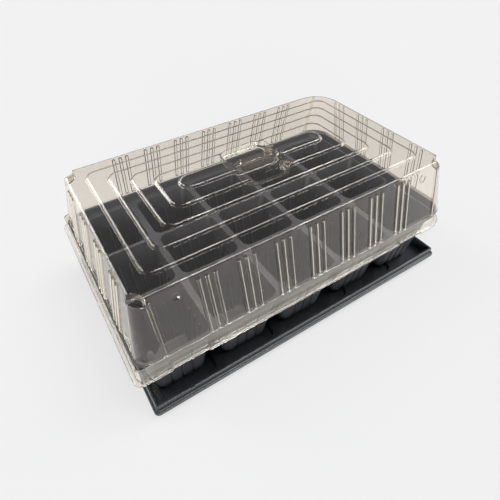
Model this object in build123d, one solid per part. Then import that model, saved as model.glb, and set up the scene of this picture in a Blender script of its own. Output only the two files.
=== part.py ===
# Humidity dome tray: a clear lid over a black fifteen-cell insert that stands in a black drip tray.
# Millimetres, +Z up. The origin is under the middle of the whole footprint, on the plane that the
# drip tray's feet stand on. +X runs along the long side, -Y is the front.
# Corner radii are listed as (back right, back left, front left, front right).
import os

from build123d import *

# ---- sheet thicknesses ----
clear_sheet = 0.8
black_sheet = 1.0

# ---- where the loose pieces lie on each other ----
lid_shift = -2.5          # the lid and the insert sit a little to the left of the middle
drip_shift = 3.0          # the drip tray sits a little to the right

# ---- drip tray ----
drip_size = (379.0, 234.0)
foot_depth = 3.0          # channels pressed down into the floor, which the tray stands on
drip_bead_inset = 3.0     # outer flange to the raised bead
drip_bead_width = 3.0
drip_bead_top = 17.9
drip_flange_top = 10.5
drip_skirt_drop = 3.0
drip_corner = 5.0
channel_size = (14.0, 204.0)
channel_places = (-124.0, -52.5, 52.5, 124.0)

# ---- cell insert ----
columns = 5
rows = 3
pitch = (72.8, 70.0)
mouth = (65.6, 66.0)      # clear opening of a cell at the web
cell_base = (50.0, 48.0)  # outside of a cell at its foot
mouth_corner = 8.0
base_corner = 7.0
drain_radius = 4.0
web_top = 76.5
deck_inset = 9.0          # inset from the lid's lip, as are the other insets below
deck_corners = (18.0, 13.0, 13.0, 18.0)
rim_inset = 5.8
rim_corners = (26.0, 10.0, 10.0, 26.0)
rim_skirt_drop = 5.0

# ---- lid ----
lip_size = (380.0, 236.0)
lip_bottom = 70.5
lip_top = 72.5
lip_corners = (30.0, 8.0, 8.0, 30.0)
skirt_foot_inset = 4.0
skirt_top_inset = 4.4
skirt_corners = (26.0, 5.0, 5.0, 26.0)
ledge_top = 86.5
wall_base_inset = (8.2, 5.2)  # short sides, long sides
wall_top_inset = 19.6
wall_base_corners = (34.0, 14.0, 14.0, 18.0)
wall_top_corners = (30.0, 12.0, 12.0, 12.0)
roof_edge = 147.7
shelf_top = 140.0         # three corners have a round notch down to a small shelf
notch_radius = 10.5
step_count = 5
step_rise = 2.3
step_pitch = 17.5
step_corner = 11.0
cap_split = 139.0         # below the shelves the lid's side walls are their own zone

# ---- handle: a bar between two D-shaped finger recesses ----
bar_half = 4.8
recess_size = (55.0, 28.2)
recess_corners = (3.0, 3.0, 13.0, 13.0)
recess_floor = 148.5


def rounded(size, radii):
    """Sketch of a rectangle with round corners; radii is one number or one per corner."""
    if not isinstance(radii, tuple):
        radii = (radii,) * 4
    sketch = Rectangle(size[0], size[1])
    for (sx, sy), radius in zip(((1, 1), (-1, 1), (-1, -1), (1, -1)), radii):
        corner = sketch.vertices().sort_by(lambda v: sx * v.X + sy * v.Y)[-1]
        sketch = fillet(corner, radius)
    return sketch


def inset(size, amount):
    """Size taken in on every side; amount is one number, or one for X and one for Y."""
    if not isinstance(amount, tuple):
        amount = (amount, amount)
    return (size[0] - 2 * amount[0], size[1] - 2 * amount[1])


def less(radii, amount):
    """Corner radii of the same outline taken in by amount."""
    if isinstance(radii, tuple):
        return tuple(max(radius - amount, 0.5) for radius in radii)
    return max(radii - amount, 0.5)


def prism(size, radii, low, high):
    return Pos(0, 0, low) * extrude(rounded(size, radii), high - low)


def ring(outer, outer_radii, inner, inner_radii, low, high):
    return prism(outer, outer_radii, low, high) - prism(inner, inner_radii, low, high)


def tapered(low_size, low_radii, low, high_size, high_radii, high):
    foot = Pos(0, 0, low) * rounded(low_size, low_radii)
    head = Pos(0, 0, high) * rounded(high_size, high_radii)
    return loft([foot, head], ruled=True)


def save(node, shape):
    solid = shape.solids()[0] if len(shape.solids()) == 1 else shape
    solid.label = node
    export_step(solid, f"parts/{node}.step")


# ---- drip tray ----
def drip_floor():
    """Flat floor with channels pressed down into it; the channels are the feet."""
    t = black_sheet
    outline = inset(drip_size, drip_bead_inset)
    floor = prism(outline, less(drip_corner, drip_bead_inset), foot_depth, foot_depth + t)
    corner = channel_size[0] / 2 - 0.1
    for x in channel_places:
        outside = prism(inset(channel_size, -t), corner + t, 0, foot_depth + t)
        inside = prism(channel_size, corner, t, foot_depth + 2 * t)
        floor = floor + Pos(x, 0, 0) * outside - Pos(x, 0, 0) * inside
    return Pos(drip_shift, 0, 0) * floor


def drip_rim():
    t = black_sheet
    bead_outer = inset(drip_size, drip_bead_inset)
    bead_inner = inset(bead_outer, drip_bead_width)
    outer_corner = less(drip_corner, drip_bead_inset)
    inner_corner = less(drip_corner, drip_bead_inset + drip_bead_width)
    low = foot_depth + t
    rim = ring(inset(bead_inner, -t), inner_corner + t, bead_inner, inner_corner, low, drip_bead_top)
    rim += ring(bead_outer, outer_corner, bead_inner, inner_corner, drip_bead_top - t, drip_bead_top)
    wall_inner = inset(bead_outer, t)
    wall_corner = less(outer_corner, t)
    rim += ring(bead_outer, outer_corner, wall_inner, wall_corner, drip_flange_top - t, drip_bead_top)
    rim += ring(drip_size, drip_corner, wall_inner, wall_corner, drip_flange_top - t, drip_flange_top)
    rim += ring(drip_size, drip_corner, inset(drip_size, t), drip_corner - t,
                drip_flange_top - drip_skirt_drop, drip_flange_top)
    return Pos(drip_shift, 0, 0) * rim


# ---- cell insert ----
def cell():
    t = black_sheet
    foot = foot_depth + t
    top = web_top - t
    outer = tapered(cell_base, base_corner, foot, inset(mouth, -t), mouth_corner + t, top)
    inner = tapered(inset(cell_base, t), base_corner - t, foot + t, mouth, mouth_corner, top)
    return outer - inner - Pos(0, 0, foot) * Cylinder(drain_radius, 3 * t)


def cell_places():
    for row in range(rows):
        for column in range(columns):
            x = (column - (columns - 1) / 2) * pitch[0] + lid_shift
            y = (row - (rows - 1) / 2) * pitch[1]
            yield row + 1, column + 1, x, y


def cell_web():
    low = web_top - black_sheet
    plate = Pos(lid_shift, 0, 0) * prism(inset(lip_size, deck_inset), deck_corners, low, web_top)
    hole = extrude(rounded(mouth, mouth_corner), black_sheet)
    for _, _, x, y in cell_places():
        plate -= Pos(x, y, low) * hole
    return plate


def cell_rim():
    t = black_sheet
    top = ledge_top - clear_sheet
    deck = inset(lip_size, deck_inset)
    deck_inner = inset(deck, t)
    inner_corners = less(deck_corners, t)
    rim_size = inset(lip_size, rim_inset)
    rim = ring(deck, deck_corners, deck_inner, inner_corners, web_top, top)
    rim += ring(rim_size, rim_corners, deck_inner, inner_corners, top - t, top)
    rim += ring(rim_size, rim_corners, inset(rim_size, t), less(rim_corners, t),
                top - rim_skirt_drop, top)
    return Pos(lid_shift, 0, 0) * rim


# ---- lid ----
def corner_posts(radius, low, high):
    """Round cutters on the three notched corners of the roof."""
    size = inset(lip_size, wall_top_inset)
    cutters = []
    for sx, sy in ((-1, -1), (-1, 1), (1, -1)):
        place = Pos(sx * size[0] / 2, sy * size[1] / 2, (low + high) / 2)
        cutters.append(place * Cylinder(radius, high - low))
    return cutters


def recesses(grow, floor, top):
    """The two finger recesses, grown all round by the sheet when cut from the inside."""
    size = inset(recess_size, -grow)
    middle = -(bar_half + recess_size[1] / 2)
    front = Pos(0, middle, floor) * extrude(rounded(size, less(recess_corners, -grow)), top - floor)
    return front, mirror(front, Plane.XZ)


def lid_body(t):
    """The lid's outer form for t = 0, and the space inside its sheet for t = sheet."""
    base = inset(inset(lip_size, wall_base_inset), t)
    roof = inset(lip_size, wall_top_inset + t)
    body = tapered(base, less(wall_base_corners, t), ledge_top - clear_sheet,
                   roof, less(wall_top_corners, t), roof_edge - t)
    for step in range(1, step_count + 1):
        size = inset(lip_size, wall_top_inset + step * step_pitch + t)
        low = roof_edge + (step - 1) * step_rise - t
        corner = min(step_corner, size[1] / 2 - 0.1)
        body += prism(size, corner, low - t / 2, low + step_rise)
    plateau = roof_edge + step_count * step_rise
    for cutter in corner_posts(notch_radius + t, shelf_top - t, plateau):
        body -= cutter
    for block in recesses(t, recess_floor - t, plateau + 1):
        body -= block
    return body


def lid_shell():
    return lid_body(0) - lid_body(clear_sheet)


def zone(shell, low, high):
    """The part of the lid between two heights."""
    slab = Pos(0, 0, (low + high) / 2) * Box(2 * lip_size[0], 2 * lip_size[1], high - low)
    return Pos(lid_shift, 0, 0) * (shell & slab)


def dome_rim():
    t = clear_sheet
    hole = prism(inset(inset(lip_size, wall_base_inset), t), less(wall_base_corners, t),
                 ledge_top - 2 * t, ledge_top + t)
    head = inset(lip_size, skirt_top_inset)
    foot = inset(lip_size, skirt_foot_inset)
    inner_corners = less(skirt_corners, t)
    rim = tapered(foot, skirt_corners, lip_top, head, skirt_corners, ledge_top)
    rim -= tapered(inset(foot, t), inner_corners, lip_top, inset(head, t), inner_corners, ledge_top - t)
    rim += ring(lip_size, lip_corners, inset(foot, t), inner_corners, lip_top - t, lip_top)
    rim += ring(lip_size, lip_corners, inset(lip_size, t), less(lip_corners, t), lip_bottom, lip_top)
    return Pos(lid_shift, 0, 0) * (rim - hole)


def main():
    os.makedirs("parts", exist_ok=True)
    save("drip_floor", drip_floor())
    save("drip_rim", drip_rim())
    save("cell_web", cell_web())
    save("cell_rim", cell_rim())
    pot = cell()
    for row, column, x, y in cell_places():
        save(f"cell_{row}_{column}", Pos(x, y, 0) * pot)
    shell = lid_shell()
    save("dome_roof", zone(shell, cap_split, roof_edge + 2 * step_count * step_rise))
    save("dome_walls", zone(shell, ledge_top, cap_split))
    save("dome_rim", dome_rim())


main()
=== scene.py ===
# Humidity dome tray: a clear ribbed lid over a black fifteen-cell insert, standing in a black drip tray.
import math

import bmesh
import bpy
from mathutils import Matrix, Vector


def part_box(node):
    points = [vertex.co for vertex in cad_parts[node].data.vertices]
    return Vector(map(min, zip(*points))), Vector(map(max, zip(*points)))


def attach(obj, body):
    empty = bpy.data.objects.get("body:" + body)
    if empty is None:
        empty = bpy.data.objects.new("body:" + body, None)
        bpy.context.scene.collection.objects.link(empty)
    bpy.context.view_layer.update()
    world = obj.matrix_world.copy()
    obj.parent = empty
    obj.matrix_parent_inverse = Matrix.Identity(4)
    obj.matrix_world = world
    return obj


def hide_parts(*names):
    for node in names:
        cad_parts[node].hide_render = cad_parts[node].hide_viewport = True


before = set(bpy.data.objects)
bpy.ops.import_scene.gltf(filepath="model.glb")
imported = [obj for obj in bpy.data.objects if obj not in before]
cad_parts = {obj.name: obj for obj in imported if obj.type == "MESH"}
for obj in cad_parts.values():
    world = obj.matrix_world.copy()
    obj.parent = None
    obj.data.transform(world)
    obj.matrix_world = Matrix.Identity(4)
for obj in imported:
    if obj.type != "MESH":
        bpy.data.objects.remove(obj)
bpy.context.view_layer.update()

mm = 0.001
print("frame loaded:", len(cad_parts), "CAD nodes")


# ways of working that every piece shares

def startPiece(name):
    # an empty mesh in edit mode; the level of a point says which outline it belongs to
    bpy.ops.object.select_all(action="DESELECT")
    bpy.ops.mesh.primitive_plane_add(size=1)
    piece = bpy.context.object
    piece.name = piece.data.name = name
    bpy.ops.object.mode_set(mode="EDIT")
    bpy.ops.mesh.delete(type="VERT")
    bmesh.from_edit_mesh(piece.data).verts.layers.int.new("level")
    return piece


def levelOf(item, layer):
    points = [item] if isinstance(item, bmesh.types.BMVert) else item.verts
    levels = {point[layer] for point in points}
    return levels.pop() if len(levels) == 1 else -1


def pick(piece, kind, wanted):
    # selects the verts, edges or faces for which wanted(item, its level) is true
    bpy.ops.mesh.select_mode(type={"verts": "VERT", "edges": "EDGE", "faces": "FACE"}[kind])
    bpy.ops.mesh.select_all(action="DESELECT")
    mesh = bmesh.from_edit_mesh(piece.data)
    layer = mesh.verts.layers.int.get("level") or mesh.verts.layers.int.new("level")
    picked = [item for item in getattr(mesh, kind) if wanted(item, levelOf(item, layer))]
    for item in picked:
        item.select_set(True)
    bmesh.update_edit_mesh(piece.data)
    return len(picked)


def addOutline(piece, size, corners, height, middle, level, segments):
    # a plane with rounded corners, of which only the edge is kept; sizes in mm
    place = Vector((middle[0], middle[1], height)) * mm
    bpy.ops.mesh.select_mode(type="VERT")
    bpy.ops.mesh.select_all(action="DESELECT")
    bpy.ops.mesh.primitive_plane_add(size=1, location=place)
    bpy.ops.transform.resize(value=(size[0] * mm, size[1] * mm, 1), center_override=place)
    for (sideX, sideY), radius in zip(((1, 1), (-1, 1), (-1, -1), (1, -1)), corners):
        corner = place + Vector((sideX * size[0], sideY * size[1], 0)) * mm / 2
        pick(piece, "verts", lambda vert, tag: tag == 0 and (vert.co - corner).length < 0.01 * mm)
        bpy.ops.mesh.bevel(offset=radius * mm, segments=segments, affect="VERTICES", clamp_overlap=False)
    pick(piece, "faces", lambda face, tag: tag == 0)
    bpy.ops.mesh.delete(type="ONLY_FACE")
    mesh = bmesh.from_edit_mesh(piece.data)
    layer = mesh.verts.layers.int["level"]
    for vert in mesh.verts:
        if vert[layer] == 0:
            vert[layer] = level


def joinLevels(piece, first, second):
    pick(piece, "edges", lambda edge, tag: tag in (first, second))
    bpy.ops.mesh.bridge_edge_loops()


def closeLevel(piece, level):
    pick(piece, "edges", lambda edge, tag: tag == level)
    bpy.ops.mesh.edge_face_add()


def skin(piece, rows, middle, segments):
    # outlines of (size, corners, height), each joined to the one before
    # two outlines at one height would be bridged with a twist, so the second is put a hair lower
    before = None
    for level, (size, corners, height) in enumerate(rows, 1):
        height = height - 0.03 if before is not None and abs(height - before) < 0.01 else height
        before = height
        addOutline(piece, size, corners, height, middle, level, segments)
        if level > 1:
            joinLevels(piece, level - 1, level)
    return level


def row(size, corners, inset, height):
    # one outline of a skin: the size taken in by inset on every side, and its corners with it
    insetX, insetY = inset if isinstance(inset, tuple) else (inset, inset)
    width, depth = size[0] - 2 * insetX, size[1] - 2 * insetY
    most = min(width, depth) / 2 - 0.05
    return (width, depth), tuple(min(max(radius, 0.4), most) for radius in corners), height


def less(corners, amount):
    return tuple(radius - amount for radius in corners)


def objectMode(piece):
    bpy.ops.object.mode_set(mode="OBJECT")
    bpy.ops.object.select_all(action="DESELECT")
    piece.select_set(True)
    bpy.context.view_layer.objects.active = piece


def applyModifier(piece, kind, **settings):
    objectMode(piece)
    modifier = piece.modifiers.new(kind.lower(), kind)
    for name, value in settings.items():
        setattr(modifier, name, value)
    bpy.ops.object.modifier_apply(modifier=modifier.name)


def joinPieces(pieces):
    bpy.ops.object.select_all(action="DESELECT")
    for piece in pieces:
        piece.select_set(True)
    bpy.context.view_layer.objects.active = pieces[0]
    bpy.ops.object.join()
    return pieces[0]


def cut(piece, tool, operation, solver="EXACT"):
    applyModifier(piece, "BOOLEAN", object=tool, operation=operation, solver=solver)
    bpy.data.objects.remove(tool)


def copyPiece(piece, matrix):
    made = piece.copy()
    made.data = piece.data.copy()
    made.data.transform(matrix)
    bpy.context.scene.collection.objects.link(made)
    return made


def shade(piece):
    # round edges smooth, flats flat
    objectMode(piece)
    bpy.ops.object.shade_smooth_by_angle(angle=math.radians(40))
    applyModifier(piece, "WEIGHTED_NORMAL", keep_sharp=True, weight=80)
    if "level" in piece.data.attributes:
        piece.data.attributes.remove(piece.data.attributes["level"])


def sheet(piece, thickness, upward):
    # gives the skin its thickness on the inner side and shades it; upward tells which faces point up
    objectMode(piece)
    bpy.ops.object.mode_set(mode="EDIT")
    bpy.ops.mesh.select_all(action="SELECT")
    bpy.ops.mesh.remove_doubles(threshold=0.01 * mm)
    bpy.ops.mesh.normals_make_consistent(inside=False)
    mesh = bmesh.from_edit_mesh(piece.data)
    widest = max((face for face in mesh.faces if upward(face)), key=lambda face: face.calc_area())
    if widest.normal.z < 0:
        bpy.ops.mesh.flip_normals()
    objectMode(piece)
    applyModifier(piece, "SOLIDIFY", thickness=thickness * mm, offset=-1)
    shade(piece)


def bend(piece, cuts, inRegion, move):
    # cuts the skin across X at the places given, then moves the points that inRegion names; mm
    for place in cuts:
        pick(piece, "faces", lambda face, tag: inRegion(face.calc_center_median() / mm, 400))
        bpy.ops.mesh.bisect(plane_co=(place * mm, 0, 0), plane_no=(1, 0, 0))
    pick(piece, "verts", lambda vert, tag: inRegion(vert.co / mm, 0.05))
    bpy.ops.transform.translate(value=Vector(move) * mm)


def middleOf(node):
    low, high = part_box(node)
    return ((low + high) / 2 / mm).xy, (high - low) / mm, low.z / mm, high.z / mm


# the clear lid

lidValues = {
    "sheet": 0.7,
    "lipDrop": 2.0,            # turned-down edge of the lip
    "lipCorners": (30, 8, 8, 30),
    "skirtCorners": (26, 5, 5, 26),
    "skirtInset": 4.0,
    "wallBase": (8.2, 5.2),    # inset at the short sides, at the long sides
    "wallTop": 19.6,
    "wallBaseCorners": (34, 14, 14, 18),
    "wallTopCorners": (30, 12, 12, 12),
    "steps": 5,
    "stepRise": 2.3,
    "stepPitch": 17.5,
    "stepCorner": 11.0,
    # inset and rise from a step's foot to its top
    "stepProfile": ((-1.3, 0), (-1.05, 0.05), (-0.85, 0.2), (0.2, 1.48), (0.55, 1.85), (0.95, 2.08),
                    (1.45, 2.23), (2.1, 2.3)),
    "notchRadius": 10.5,
    "notchDepth": 7.7,
    "ribRadius": 1.9,
    "ribProud": 1.6,           # how far a rib stands out of its wall
    "ribTop": 5.0,             # its head below the roof edge
    "longGroups": [36.5 * place for place in range(-3, 4)],
    "shortGroups": [41.5 * (place - 1.5) for place in range(4)],
    "ribPitch": 7.4,
    "loneFront": (-159, 159),
    "loneBack": (-159,),       # the other back corner is too round for one
    "dimples": (-138, 138),    # shallow round dents in the front wall
    "dimpleHeight": 137.0,
    "dimpleRadius": 7.1,
    "dimpleDepth": 1.6,
    "barHalf": 4.8,
    "recess": (55.0, 28.2),
    "recessCorners": (3, 3, 13, 13),
    "recessDepth": 10.7,
    "recessProfile": ((3.6, 0), (2.3, 0.3), (1.5, 1.0), (1.1, 2.2), (0.0, 14)),   # inset, height over floor
    "barStep": (9, 4.4, 12),   # a small cut at one end of the bar, on each side of it
    "barStepPlace": (20.5, 4.0, 2.0),
    "handleRound": 0.45,
    "notchRound": 0.55,
    "tabs": ((-156.5, -123.5), (110, 142)),
    "tabRise": 2.5,
}

rimMiddle, rimSize, lipFoot, ledge = middleOf("dome_rim")
plateau = middleOf("dome_roof")[3]
lidSize = (rimSize.x, rimSize.y)
lidMiddle = (rimMiddle.x, rimMiddle.y)
roofEdge = plateau - lidValues["steps"] * lidValues["stepRise"]


def lidRows(deep):
    # outlines of the lid's outside for deep = 0, and of the space inside its sheet otherwise
    v = lidValues
    lip = lipFoot + v["lipDrop"]
    rows = []

    def add(corners, inset, height):
        insetX, insetY = inset if isinstance(inset, tuple) else (inset, inset)
        rows.append(row(lidSize, less(corners, deep), (insetX + deep, insetY + deep), height - deep))

    add(v["lipCorners"], 0, lipFoot + deep + (0.03 if deep else 0))
    for inset, height in ((0, lip - 0.9), (0.3, lip - 0.25), (1.0, lip)):
        add(less(v["lipCorners"], inset), inset, height)
    foot = v["skirtInset"]
    for inset, height in ((foot - 0.7, lip), (foot - 0.2, lip + 0.2), (foot, lip + 0.7),
                          (foot + 0.4, ledge - 0.6), (foot + 0.55, ledge - 0.15), (foot + 0.9, ledge)):
        add(v["skirtCorners"], inset, height)
    baseX, baseY = v["wallBase"]
    for grow, rise in ((0.3, 0), (0.0, 0.35)):
        add(v["wallBaseCorners"], (baseX - grow, baseY - grow + 0.1), ledge + rise)
    top = v["wallTop"]
    for inset, drop in ((-0.45, 2.2), (-0.05, 1.2), (0.5, 0.5), (1.25, 0.12), (2.1, 0)):
        add(less(v["wallTopCorners"], inset), top + inset, roofEdge - drop)
    for step in range(v["steps"]):
        edge = top + (step + 1) * v["stepPitch"]
        low = roofEdge + step * v["stepRise"]
        for inset, rise in v["stepProfile"]:
            add((v["stepCorner"] - inset,) * 4, edge + inset, low + rise)
    return rows


def wallFrames():
    # each wall's outward direction, its distances at foot and roof, and its ribs' places along it
    v = lidValues
    half = Vector(lidSize) / 2
    trio = [offset * v["ribPitch"] for offset in (-1, 0, 1)]
    longRibs = [group + offset for group in v["longGroups"] for offset in trio]
    shortRibs = [group + offset for group in v["shortGroups"] for offset in trio]
    for side, lone in ((-1, v["loneFront"]), (1, v["loneBack"])):
        yield Vector((0, side, 0)), half.y - v["wallBase"][1], half.y - v["wallTop"], longRibs + list(lone)
        yield Vector((side, 0, 0)), half.x - v["wallBase"][0], half.x - v["wallTop"], shortRibs


def makeRibs(deep):
    v = lidValues
    bpy.ops.object.select_all(action="DESELECT")
    bpy.ops.mesh.primitive_cylinder_add(vertices=20, radius=(v["ribRadius"] - deep) * mm, depth=mm)
    pattern = bpy.context.object
    bpy.ops.object.mode_set(mode="EDIT")
    pick(pattern, "faces", lambda face, tag: face.normal.z > 0.9)
    bpy.ops.mesh.inset(thickness=0.5 * mm)
    ribs = []
    for out, foot, head, places in wallFrames():
        along = Vector((-out.y, out.x, 0))
        slope = (out * (head - foot) + Vector((0, 0, roofEdge - ledge))).normalized()
        normal = along.cross(slope).normalized()
        normal = normal if normal.dot(out) > 0 else -normal
        turn = Vector((0, 0, 1)).rotation_difference(slope).to_matrix().to_4x4()
        low = out * foot + Vector((0, 0, ledge)) + slope * 0.6
        length = (roofEdge - v["ribTop"] - deep - ledge) / slope.z - 0.6
        for place in places:
            centre = low + slope * length / 2 + along * place + normal * (v["ribProud"] - v["ribRadius"])
            centre += Vector((*lidMiddle, 0))
            size = Matrix.Diagonal((1, 1, length, 1))
            objectMode(pattern)
            ribs.append(copyPiece(pattern, Matrix.Translation(centre * mm) @ turn @ size))
    bpy.data.objects.remove(pattern)
    return joinPieces(ribs)


def makeRecesses(deep):
    v = lidValues
    floor = plateau - v["recessDepth"] - deep
    tools = []
    for side in (-1, 1):
        tool = startPiece("recessTool")
        corners = v["recessCorners"] if side < 0 else v["recessCorners"][::-1]
        middle = (lidMiddle[0], lidMiddle[1] + side * (v["barHalf"] + v["recess"][1] / 2))
        rows = [row(v["recess"], less(corners, inset - deep), inset - deep, floor + height)
                for inset, height in v["recessProfile"]]
        last = skin(tool, rows, middle, 10)
        closeLevel(tool, 1)
        closeLevel(tool, last)
        bpy.ops.mesh.select_all(action="SELECT")
        bpy.ops.mesh.normals_make_consistent(inside=False)
        objectMode(tool)
        tools.append(tool)
        bpy.ops.mesh.primitive_cube_add(size=1, location=(0, 0, 0))
        step = bpy.context.object
        stepX, stepY, stepZ = v["barStepPlace"]
        centre = Vector((lidMiddle[0] - side * stepX, lidMiddle[1] + side * stepY, plateau + stepZ))
        size = (Vector(v["barStep"]) + Vector((2, 2, 2)) * deep) * mm
        step.data.transform(Matrix.Translation(centre * mm) @ Matrix.Diagonal((*size, 1)))
        cut(tool, step, "UNION")
    return joinPieces(tools)


def makeNotches(deep):
    v = lidValues
    bpy.ops.object.select_all(action="DESELECT")
    tools = []
    half = Vector(lidSize) / 2 - Vector((v["wallTop"], v["wallTop"]))
    for sideX, sideY in ((-1, -1), (-1, 1), (1, -1)):
        low, high = roofEdge - v["notchDepth"] - deep, roofEdge + 8
        place = Vector((lidMiddle[0] + sideX * half.x, lidMiddle[1] + sideY * half.y, (low + high) / 2))
        bpy.ops.mesh.primitive_cylinder_add(vertices=64, radius=(v["notchRadius"] + deep) * mm,
                                            depth=(high - low) * mm, location=place * mm)
        tools.append(bpy.context.object)
    return joinPieces(tools)


def makeDimples(deep):
    v = lidValues
    tools = []
    lean = (v["wallTop"] - v["wallBase"][1]) / (roofEdge - ledge)
    inset = v["wallBase"][1] + (v["dimpleHeight"] - ledge) * lean
    for place in v["dimples"]:
        centre = Vector((place, inset - lidSize[1] / 2, v["dimpleHeight"])) + Vector((*lidMiddle, 0))
        centre += Vector((0, -1, lean)).normalized() * (v["dimpleRadius"] - v["dimpleDepth"])
        bpy.ops.mesh.primitive_uv_sphere_add(
            segments=48, ring_count=32, radius=(v["dimpleRadius"] + deep) * mm, location=centre * mm)
        tools.append(bpy.context.object)
    return joinPieces(tools)


def lidBody(name, deep):
    # a closed block cut and ribbed, then opened below; deep shrinks it to the space inside the sheet
    v = lidValues
    body = startPiece(name)
    last = skin(body, lidRows(deep), lidMiddle, 10)
    closeLevel(body, 1)
    closeLevel(body, last)
    bpy.ops.mesh.select_all(action="SELECT")
    bpy.ops.mesh.normals_make_consistent(inside=False)
    objectMode(body)
    cut(body, makeRibs(deep), "UNION", "FAST")
    for tool in (makeNotches, makeRecesses, makeDimples):
        cut(body, tool(deep), "DIFFERENCE")
    bpy.ops.object.mode_set(mode="EDIT")
    bottom = (lipFoot + 0.1) * mm
    pick(body, "faces", lambda face, tag: face.normal.z < -0.9 and face.calc_center_median().z < bottom)
    bpy.ops.mesh.delete(type="ONLY_FACE")
    # the lip and the skirt's foot are raised at two tabs on the front
    front = -lidSize[1] / 2
    for low, high in v["tabs"]:
        low, high = low + lidMiddle[0], high + lidMiddle[0]
        bend(body, (low - 1.2, low, high, high + 1.2),
             lambda p, room: p.y < front + 5.5 and p.z < lipFoot + 4 and low - room <= p.x <= high + room,
             (0, 0, v["tabRise"]))
    return body


def makeLid():
    v = lidValues
    lid = lidBody("clearLid", 0)
    flats = [roofEdge + step * v["stepRise"] for step in range(v["steps"] + 1)]
    shelf = roofEdge - v["notchDepth"]

    def levelEdge(edge, heights):
        sharp = len(edge.link_faces) == 2 and edge.calc_face_angle(0) > math.radians(50)
        return sharp and any(all(abs(vert.co.z / mm - height) < 0.03 for vert in edge.verts)
                             for height in heights)

    def atHandle(edge, tag):
        place = (edge.verts[0].co + edge.verts[1].co) / 2 / mm - Vector((*lidMiddle, 0))
        return abs(place.x) < 29 and abs(place.y) < 35 and levelEdge(edge, flats)

    def atNotch(edge, tag):
        place = (edge.verts[0].co + edge.verts[1].co) / 2 / mm - Vector((*lidMiddle, 0))
        return abs(place.x) > 150 and abs(place.y) > 80 and levelEdge(edge, (roofEdge, shelf))

    for chosen, size in ((atHandle, v["handleRound"]), (atNotch, v["notchRound"])):
        pick(lid, "edges", chosen)
        bpy.ops.mesh.bevel(offset=size * mm, segments=3, profile=0.5, clamp_overlap=False)
    objectMode(lid)
    print("lid outside:", len(lid.data.polygons), "faces")
    space = lidBody("lidSpace", v["sheet"])
    bpy.ops.mesh.select_all(action="SELECT")
    bpy.ops.mesh.flip_normals()
    objectMode(space)
    joinPieces([lid, space])
    bpy.ops.object.mode_set(mode="EDIT")
    pick(lid, "edges", lambda edge, tag: edge.is_boundary)
    bpy.ops.mesh.bridge_edge_loops()
    shade(lid)
    return lid


clearLid = makeLid()
print("clear lid:", len(clearLid.data.polygons), "faces")


# the black cell insert

insertValues = {
    "sheet": 1.0,
    "mouth": (65.6, 66.0),
    "mouthCorner": 8.0,
    "foot": (48.0, 46.0),      # inside of a pot at its floor
    "footCorner": 6.0,
    "drainRadius": 4.0,
    "deckCorners": (18, 13, 13, 18),
    "rimInset": 3.2,           # the rim's outer edge is this much outside the deck
    "rimDrop": 5.0,
    "grooveRadius": 1.9,
    "groovePitch": 11.0,
    "grooveTop": 52.0,
}

deckMiddle, deckSize, _, webTop = middleOf("cell_web")
insertRimTop = middleOf("cell_rim")[3]
cellNames = [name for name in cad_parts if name.startswith("cell_") and name[5].isdigit()]


def makePot():
    # one pot round the origin, modelled once; its skin is the inside of the plastic
    v = insertValues
    potFoot = middleOf(cellNames[0])[2] + v["sheet"]
    pot = startPiece("pot")
    mouth, corner = v["mouth"], v["mouthCorner"]
    depth = webTop - 1 - potFoot
    rows = [row(mouth, (corner + grow,) * 4, -grow, webTop - drop)
            for grow, drop in ((0.8, 0), (0.5, 0.06), (0.2, 0.25), (0.03, 0.6))]
    for height, extra in ((4.0, 0.0), (1.8, 0.45), (0.5, 1.3), (0.0, 2.6)):
        share = height / depth
        size = [low + (high - low) * share for low, high in zip(v["foot"], mouth)]
        rows.append(row(size, (v["footCorner"] - extra * 0.5,) * 4, extra, potFoot + height))
    radius = v["drainRadius"]
    rows.append(((2 * radius, 2 * radius), (radius - 0.02,) * 4, potFoot))
    last = skin(pot, rows, (0, 0), 6)
    closeLevel(pot, 1)
    closeLevel(pot, last)
    bpy.ops.mesh.select_all(action="SELECT")
    bpy.ops.mesh.normals_make_consistent(inside=False)
    objectMode(pot)
    # three grooves pressed into the lower part of each side
    tools = []
    for out, across in ((Vector((1, 0, 0)), 0), (Vector((0, 1, 0)), 1)):
        for side in (-1, 1):
            foot, head = v["foot"][across] / 2, mouth[across] / 2
            slope = (out * side * (head - foot) + Vector((0, 0, depth))).normalized()
            turn = Vector((0, 0, 1)).rotation_difference(slope)
            length = v["grooveTop"] + 6
            for offset in (-1, 0, 1):
                along = Vector((-out.y, out.x, 0)) * offset * v["groovePitch"]
                start = out * side * (foot + 0.25) + along + Vector((0, 0, potFoot)) - slope * 4
                bpy.ops.mesh.primitive_cylinder_add(
                    vertices=12, radius=v["grooveRadius"] * mm, depth=length * mm,
                    location=(start + slope * length / 2) * mm, rotation=turn.to_euler())
                tools.append(bpy.context.object)
    cut(pot, joinPieces(tools), "DIFFERENCE")
    bpy.ops.object.mode_set(mode="EDIT")
    pick(pot, "faces", lambda face, tag: abs(face.normal.z) > 0.99 and (
        face.calc_center_median().z > (webTop - 0.01) * mm
        or (face.calc_center_median().xy.length < mm and face.calc_area() < 60 * mm * mm)))
    bpy.ops.mesh.delete(type="FACE")
    objectMode(pot)
    return pot


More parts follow.
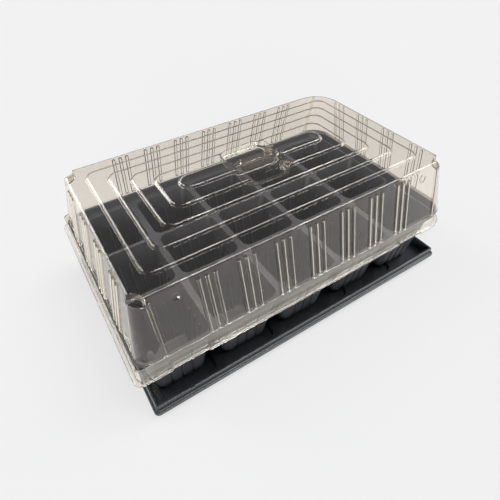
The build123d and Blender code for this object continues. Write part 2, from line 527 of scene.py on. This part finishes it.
def makeInsert():
    v = insertValues
    pot = makePot()
    print("pot:", len(pot.data.polygons), "faces")
    pots = []
    for name in cellNames:
        place = middleOf(name)[0]
        pots.append(copyPiece(pot, Matrix.Translation(Vector((place.x, place.y, 0)) * mm)))
    bpy.data.objects.remove(pot)
    insert = startPiece("cellInsert")
    size, corners, middle = (deckSize.x, deckSize.y), v["deckCorners"], (deckMiddle.x, deckMiddle.y)
    edge = v["rimInset"]
    top = insertRimTop - 0.15   # a hair of air under the lid's ledge
    rows = [row(size, less(corners, max(inset, -4)), inset, height) for inset, height in (
        (1.2, webTop), (0.4, webTop + 0.2), (0.0, webTop + 1.0), (0.0, top - 0.9), (-0.25, top - 0.25),
        (-0.9, top), (0.7 - edge, top), (0.15 - edge, top - 0.2), (-edge, top - 0.8),
        (-edge, top - v["rimDrop"]))]
    skin(insert, rows, middle, 8)
    objectMode(insert)
    insert = joinPieces([insert] + pots)
    bpy.ops.object.mode_set(mode="EDIT")
    pick(insert, "edges", lambda edge, tag: (edge.is_boundary or edge.is_wire) and all(
        abs(vert.co.z - webTop * mm) < 0.02 * mm for vert in edge.verts))
    bpy.ops.mesh.fill(use_beauty=True)
    sheet(insert, v["sheet"], lambda face: abs(face.calc_center_median().z - webTop * mm) < 0.05 * mm)
    return insert


cellInsert = makeInsert()
print("cell insert:", len(cellInsert.data.polygons), "faces")


# the black drip tray

dripValues = {
    "sheet": 1.0,
    "corner": 5.0,
    "flangeWidth": 3.0,
    "flangeTop": 10.5,
    "flangeDrop": 3.0,
    "beadWidth": 3.0,
    "channel": (14.0, 204.0),
    "channelPlaces": (-124.0, -52.5, 52.5, 124.0),
    "rimDents": (-149.0, 2.0),
}

dripMiddle, dripSize, _, beadTop = middleOf("drip_rim")
floorTop = middleOf("drip_floor")[3]
floorLow = middleOf("drip_floor")[2]


def makeDripTray():
    v = dripValues
    corner = v["corner"]
    channels = []
    size = v["channel"]
    low = floorLow + v["sheet"]
    for place in v["channelPlaces"]:
        channel = startPiece("channel")
        rows = [row(size, (size[0] / 2 - inset - 0.1,) * 4, inset, height) for inset, height in (
            (-1.0, floorTop), (-0.5, floorTop - 0.1), (0.0, floorTop - 0.6), (0.5, low + 0.6),
            (1.0, low + 0.1), (1.7, low))]
        last = skin(channel, rows, (dripMiddle.x + place, dripMiddle.y), 10)
        closeLevel(channel, last)
        objectMode(channel)
        channels.append(channel)
    tray = startPiece("dripTray")
    bead = v["flangeWidth"]
    inner = bead + v["beadWidth"]
    flange = v["flangeTop"]
    outline = (dripSize.x, dripSize.y)
    rows = [row(outline, (corner - min(inset, 4.4),) * 4, inset, height) for inset, height in (
        (0, flange - v["flangeDrop"]), (0, flange - 0.8), (0.25, flange - 0.2), (0.8, flange),
        (bead - 0.5, flange), (bead - 0.1, flange + 0.15), (bead, flange + 0.6),
        (bead + 0.1, beadTop - 0.8), (bead + 0.35, beadTop - 0.2), (bead + 0.9, beadTop),
        (inner - 0.9, beadTop), (inner - 0.35, beadTop - 0.2), (inner - 0.1, beadTop - 0.8),
        (inner + 0.2, floorTop + 1.2), (inner + 0.6, floorTop + 0.3), (inner + 1.5, floorTop))]
    skin(tray, rows, (dripMiddle.x, dripMiddle.y), 8)
    front = dripMiddle.y - dripSize.y / 2
    for place in v["rimDents"]:
        centre = dripMiddle.x + place
        bend(tray, (centre - 2.2, centre - 1.4, centre + 1.4, centre + 2.2),
             lambda p, room: p.y < front + inner - 0.2 + room / 100 and p.z > flange + 2 - room / 40
             and centre - 1.4 - room <= p.x <= centre + 1.4 + room, (0, 0, -1.4))
    objectMode(tray)
    tray = joinPieces([tray] + channels)
    bpy.ops.object.mode_set(mode="EDIT")
    pick(tray, "edges", lambda edge, tag: edge.is_boundary and all(
        abs(vert.co.z - floorTop * mm) < 0.02 * mm for vert in edge.verts))
    bpy.ops.mesh.fill(use_beauty=True)
    sheet(tray, v["sheet"], lambda face: abs(face.calc_center_median().z - floorTop * mm) < 0.05 * mm)
    return tray


dripTray = makeDripTray()
print("drip tray:", len(dripTray.data.polygons), "faces")


# materials

def linear(code):
    # an sRGB hex colour as linear light
    parts = [int(code[start:start + 2], 16) / 255 for start in (1, 3, 5)]
    return (*[part / 12.92 if part <= 0.04045 else ((part + 0.055) / 1.055) ** 2.4 for part in parts], 1)


def addNode(tree, kind, inputs=None, **settings):
    # one node with its settings; an input is a value, or another node's output to link
    made = tree.nodes.new(kind)
    for name, value in settings.items():
        setattr(made, name, value)
    for socket, value in (inputs or {}).items():
        if isinstance(value, bpy.types.NodeSocket):
            tree.links.new(value, made.inputs[socket])
        else:
            made.inputs[socket].default_value = value
    return made


def newMaterial(name):
    material = bpy.data.materials.new(name)
    material.use_nodes = True
    material.node_tree.nodes.clear()
    return material, material.node_tree


clearValues = {
    "tint": "#fffdfa",         # colour of light after one face of the sheet
    "shade": "#fafafa",        # colour of the light that reaches the inside
    "haze": "#b9b2aa",
    "hazeShare": 0.012,
    "hazeSkirt": 0.12,         # the skirt and lip are rubbed duller than the rest
    "ior": 1.52,
    "rough": 0.0,
    "waveMm": 22.0,
    "waveDepth": 0.02,
}


def makeClearSheet():
    # thermoformed clear PET: hard mirror-like gloss, a faint warm tint and soft waves from the forming
    v = clearValues
    material, tree = newMaterial("clearPetSheet")
    place = addNode(tree, "ShaderNodeTexCoord").outputs["Object"]
    wave = addNode(tree, "ShaderNodeTexNoise", {
        "Vector": place, "Scale": 1 / (v["waveMm"] * mm), "Detail": 2.0})
    bump = addNode(tree, "ShaderNodeBump", {
        "Height": wave.outputs[0], "Strength": 0.1, "Distance": v["waveDepth"] * mm})
    glass = addNode(tree, "ShaderNodeBsdfGlass", {
        "Color": linear(v["tint"]), "Roughness": v["rough"], "IOR": v["ior"], "Normal": bump.outputs[0]})
    # light that only falls through the sheet is not bent, so the inside stays lit
    through = addNode(tree, "ShaderNodeBsdfTransparent", {"Color": linear(v["shade"])})
    ray = addNode(tree, "ShaderNodeLightPath")
    lighting = addNode(tree, "ShaderNodeMath", {
        0: ray.outputs["Is Shadow Ray"], 1: ray.outputs["Is Diffuse Ray"]}, operation="MAXIMUM")
    clear = addNode(tree, "ShaderNodeMixShader", {
        0: lighting.outputs[0], 1: glass.outputs[0], 2: through.outputs[0]})
    haze = addNode(tree, "ShaderNodeBsdfTranslucent", {"Color": linear(v["haze"])})
    hazeFront = addNode(tree, "ShaderNodeBsdfDiffuse", {"Color": linear(v["haze"])})
    hazeBoth = addNode(tree, "ShaderNodeMixShader", {0: 0.5, 1: haze.outputs[0], 2: hazeFront.outputs[0]})
    height = addNode(tree, "ShaderNodeSeparateXYZ", {"Vector": place}).outputs["Z"]
    skirt = addNode(tree, "ShaderNodeMapRange", {
        "Value": height, "From Min": (ledge - 3) * mm, "From Max": (ledge - 1.2) * mm,
        "To Min": v["hazeSkirt"], "To Max": v["hazeShare"]})
    surface = addNode(tree, "ShaderNodeMixShader", {
        0: skirt.outputs[0], 1: clear.outputs[0], 2: hazeBoth.outputs[0]})
    addNode(tree, "ShaderNodeOutputMaterial", {"Surface": surface.outputs[0]})
    return material


def makeBlackPlastic(name, values):
    # vacuum-formed black polystyrene: satin from the mould's blasted face, paler where it was stretched
    material, tree = newMaterial(name)
    place = addNode(tree, "ShaderNodeTexCoord").outputs["Object"]
    grain = addNode(tree, "ShaderNodeTexNoise", {
        "Vector": place, "Scale": 1 / (values["grainMm"] * mm), "Detail": 4.0})
    cloud = addNode(tree, "ShaderNodeTexNoise", {
        "Vector": place, "Scale": 1 / (values["cloudMm"] * mm), "Detail": 3.0})
    colour = addNode(tree, "ShaderNodeMix", {
        0: cloud.outputs[0], 6: linear(values["dark"]), 7: linear(values["pale"])}, data_type="RGBA")
    rough = addNode(tree, "ShaderNodeMapRange", {
        "Value": grain.outputs[0], "From Min": 0.3, "From Max": 0.7,
        "To Min": values["rough"] - 0.06, "To Max": values["rough"] + 0.06})
    bump = addNode(tree, "ShaderNodeBump", {
        "Height": grain.outputs[0], "Strength": 0.35, "Distance": values["grainDepth"] * mm})
    body = addNode(tree, "ShaderNodeBsdfPrincipled", {
        "Base Color": colour.outputs[2], "Roughness": rough.outputs[0], "Normal": bump.outputs[0],
        "IOR": 1.59, "Specular IOR Level": 0.5})
    addNode(tree, "ShaderNodeOutputMaterial", {"Surface": body.outputs[0]})
    return material


insertPlastic = makeBlackPlastic("blackPolystyreneInsert", {
    "dark": "#16171b", "pale": "#232429", "rough": 0.48, "grainMm": 0.7, "grainDepth": 0.1, "cloudMm": 18.0})
trayPlastic = makeBlackPlastic("blackPolystyreneTray", {
    "dark": "#181b1d", "pale": "#24292b", "rough": 0.27, "grainMm": 0.8, "grainDepth": 0.05, "cloudMm": 30.0})
clearSheet = makeClearSheet()
for piece, material in ((clearLid, clearSheet), (cellInsert, insertPlastic), (dripTray, trayPlastic)):
    piece.data.materials.clear()
    piece.data.materials.append(material)
finishes = {"dome": clearSheet, "cell": insertPlastic, "drip": trayPlastic}
for name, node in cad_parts.items():
    node.data.materials.clear()
    node.data.materials.append(finishes[name.split("_")[0]])
print("materials made")

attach(clearLid, "lid")
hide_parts("dome_roof", "dome_walls", "dome_rim")
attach(cellInsert, "cell_insert")
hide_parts("cell_web", "cell_rim", *cellNames)
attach(dripTray, "drip_tray")
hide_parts("drip_floor", "drip_rim")


# floor, light and camera

studioValues = {
    "floor": "#b4b4b4",
    "glow": "#f0f0f0",         # the paper is lit from below as well, which keeps the shadow faint
    "glowShare": 0.75,
    "sky": "#9aa2b0",
    "skyStrength": 0.35,
    "bandEnd": 0.36,           # the pale wall round the room ends at this height of view, as a sine
    "bandFade": 0.14,
    "band": "#e6ddd2",
    "room": "#f0f0f0",
    "floorPale": "#b8b8b8",
    # soft lamps: direction they shine from, strength and angular size in degrees
    "lamps": {
        "overheadLeft": ((0.08, -0.12, 0.99), 1.3, 30),
        "overheadMiddle": ((0.40, -0.12, 0.91), 1.5, 30),
        "overheadRight": ((0.68, -0.14, 0.72), 1.3, 30),
        "sideNear": ((-0.52, 0.50, 0.69), 1.2, 28),
        "sideFar": ((-0.50, 0.80, 0.34), 1.0, 28),
        "front": ((-0.50, -0.84, 0.18), 4.5, 30),
    },
}


def makeStudio():
    v = studioValues
    bpy.ops.object.select_all(action="DESELECT")
    bpy.ops.mesh.primitive_plane_add(size=30, location=(0, 0, -0.0002))
    floor = bpy.context.object
    floor.name = "studioFloor"
    material, tree = newMaterial("palePaperFloor")
    place = addNode(tree, "ShaderNodeTexCoord").outputs["Object"]
    cloud = addNode(tree, "ShaderNodeTexNoise", {"Vector": place, "Scale": 3.0})
    colour = addNode(tree, "ShaderNodeMix", {
        0: cloud.outputs[0], 6: linear(v["floor"]), 7: linear(v["floorPale"])}, data_type="RGBA")
    paper = addNode(tree, "ShaderNodeBsdfDiffuse", {"Color": colour.outputs[2]})
    glow = addNode(tree, "ShaderNodeEmission", {"Color": linear(v["glow"])})
    both = addNode(tree, "ShaderNodeMixShader", {0: v["glowShare"], 1: paper.outputs[0], 2: glow.outputs[0]})
    addNode(tree, "ShaderNodeOutputMaterial", {"Surface": both.outputs[0]})
    floor.data.materials.append(material)
    for name, (direction, strength, size) in v["lamps"].items():
        light = bpy.data.lights.new(name + "Light", "SUN")
        light.energy = strength
        light.angle = math.radians(size)
        lamp = bpy.data.objects.new(name + "Light", light)
        lamp.rotation_euler = Vector(direction).to_track_quat("Z", "Y").to_euler()
        bpy.context.scene.collection.objects.link(lamp)
    world = bpy.data.worlds.new("studioWorld")
    world.use_nodes = True
    tree = world.node_tree
    tree.nodes.clear()
    ray = addNode(tree, "ShaderNodeLightPath")
    direction = addNode(tree, "ShaderNodeTexCoord").outputs["Generated"]
    height = addNode(tree, "ShaderNodeSeparateXYZ", {"Vector": direction}).outputs["Z"]
    wall = addNode(tree, "ShaderNodeMapRange", {
        "Value": height, "From Min": v["bandEnd"], "From Max": v["bandEnd"] + v["bandFade"],
        "To Min": 0.0, "To Max": 1.0}, interpolation_type="SMOOTHSTEP")
    room = addNode(tree, "ShaderNodeMix", {0: wall.outputs[0], 6: linear(v["band"]), 7: linear(v["sky"])},
                   data_type="RGBA")
    power = addNode(tree, "ShaderNodeMapRange", {
        "Value": wall.outputs[0], "To Min": 0.9, "To Max": v["skyStrength"]})
    dim = addNode(tree, "ShaderNodeBackground", {"Color": room.outputs[2], "Strength": power.outputs[0]})
    pale = addNode(tree, "ShaderNodeBackground", {"Color": linear(v["room"]), "Strength": 1.0})
    # seen directly or through the clear sheet the room is pale, in reflections it is dim
    bounces = addNode(tree, "ShaderNodeMath", {
        0: ray.outputs["Glossy Depth"], 1: ray.outputs["Diffuse Depth"]}, operation="ADD")
    seen = addNode(tree, "ShaderNodeMath", {0: bounces.outputs[0], 1: 0.5}, operation="LESS_THAN")
    both = addNode(tree, "ShaderNodeMixShader", {0: seen.outputs[0], 1: dim.outputs[0], 2: pale.outputs[0]})
    addNode(tree, "ShaderNodeOutputWorld", {"Surface": both.outputs[0]})
    bpy.context.scene.world = world
    bpy.context.scene.view_settings.view_transform = "Standard"
    bpy.context.scene.cycles.transparent_max_bounces = 32


cameraValues = {
    "place": (-0.1903, -0.2875, 0.3745),
    "turn": (46.018, 0.992, -32.220),
    "lens": 28.42,
    "shift": (0.0092, -0.0213),
}


def makeCamera():
    v = cameraValues
    data = bpy.data.cameras.new("viewCamera")
    data.lens = v["lens"]
    data.shift_x, data.shift_y = v["shift"]
    data.clip_start = 0.01
    camera = bpy.data.objects.new("viewCamera", data)
    camera.location = v["place"]
    camera.rotation_euler = [math.radians(angle) for angle in v["turn"]]
    bpy.context.scene.collection.objects.link(camera)
    bpy.context.scene.camera = camera


makeStudio()
makeCamera()
print("studio and camera made")
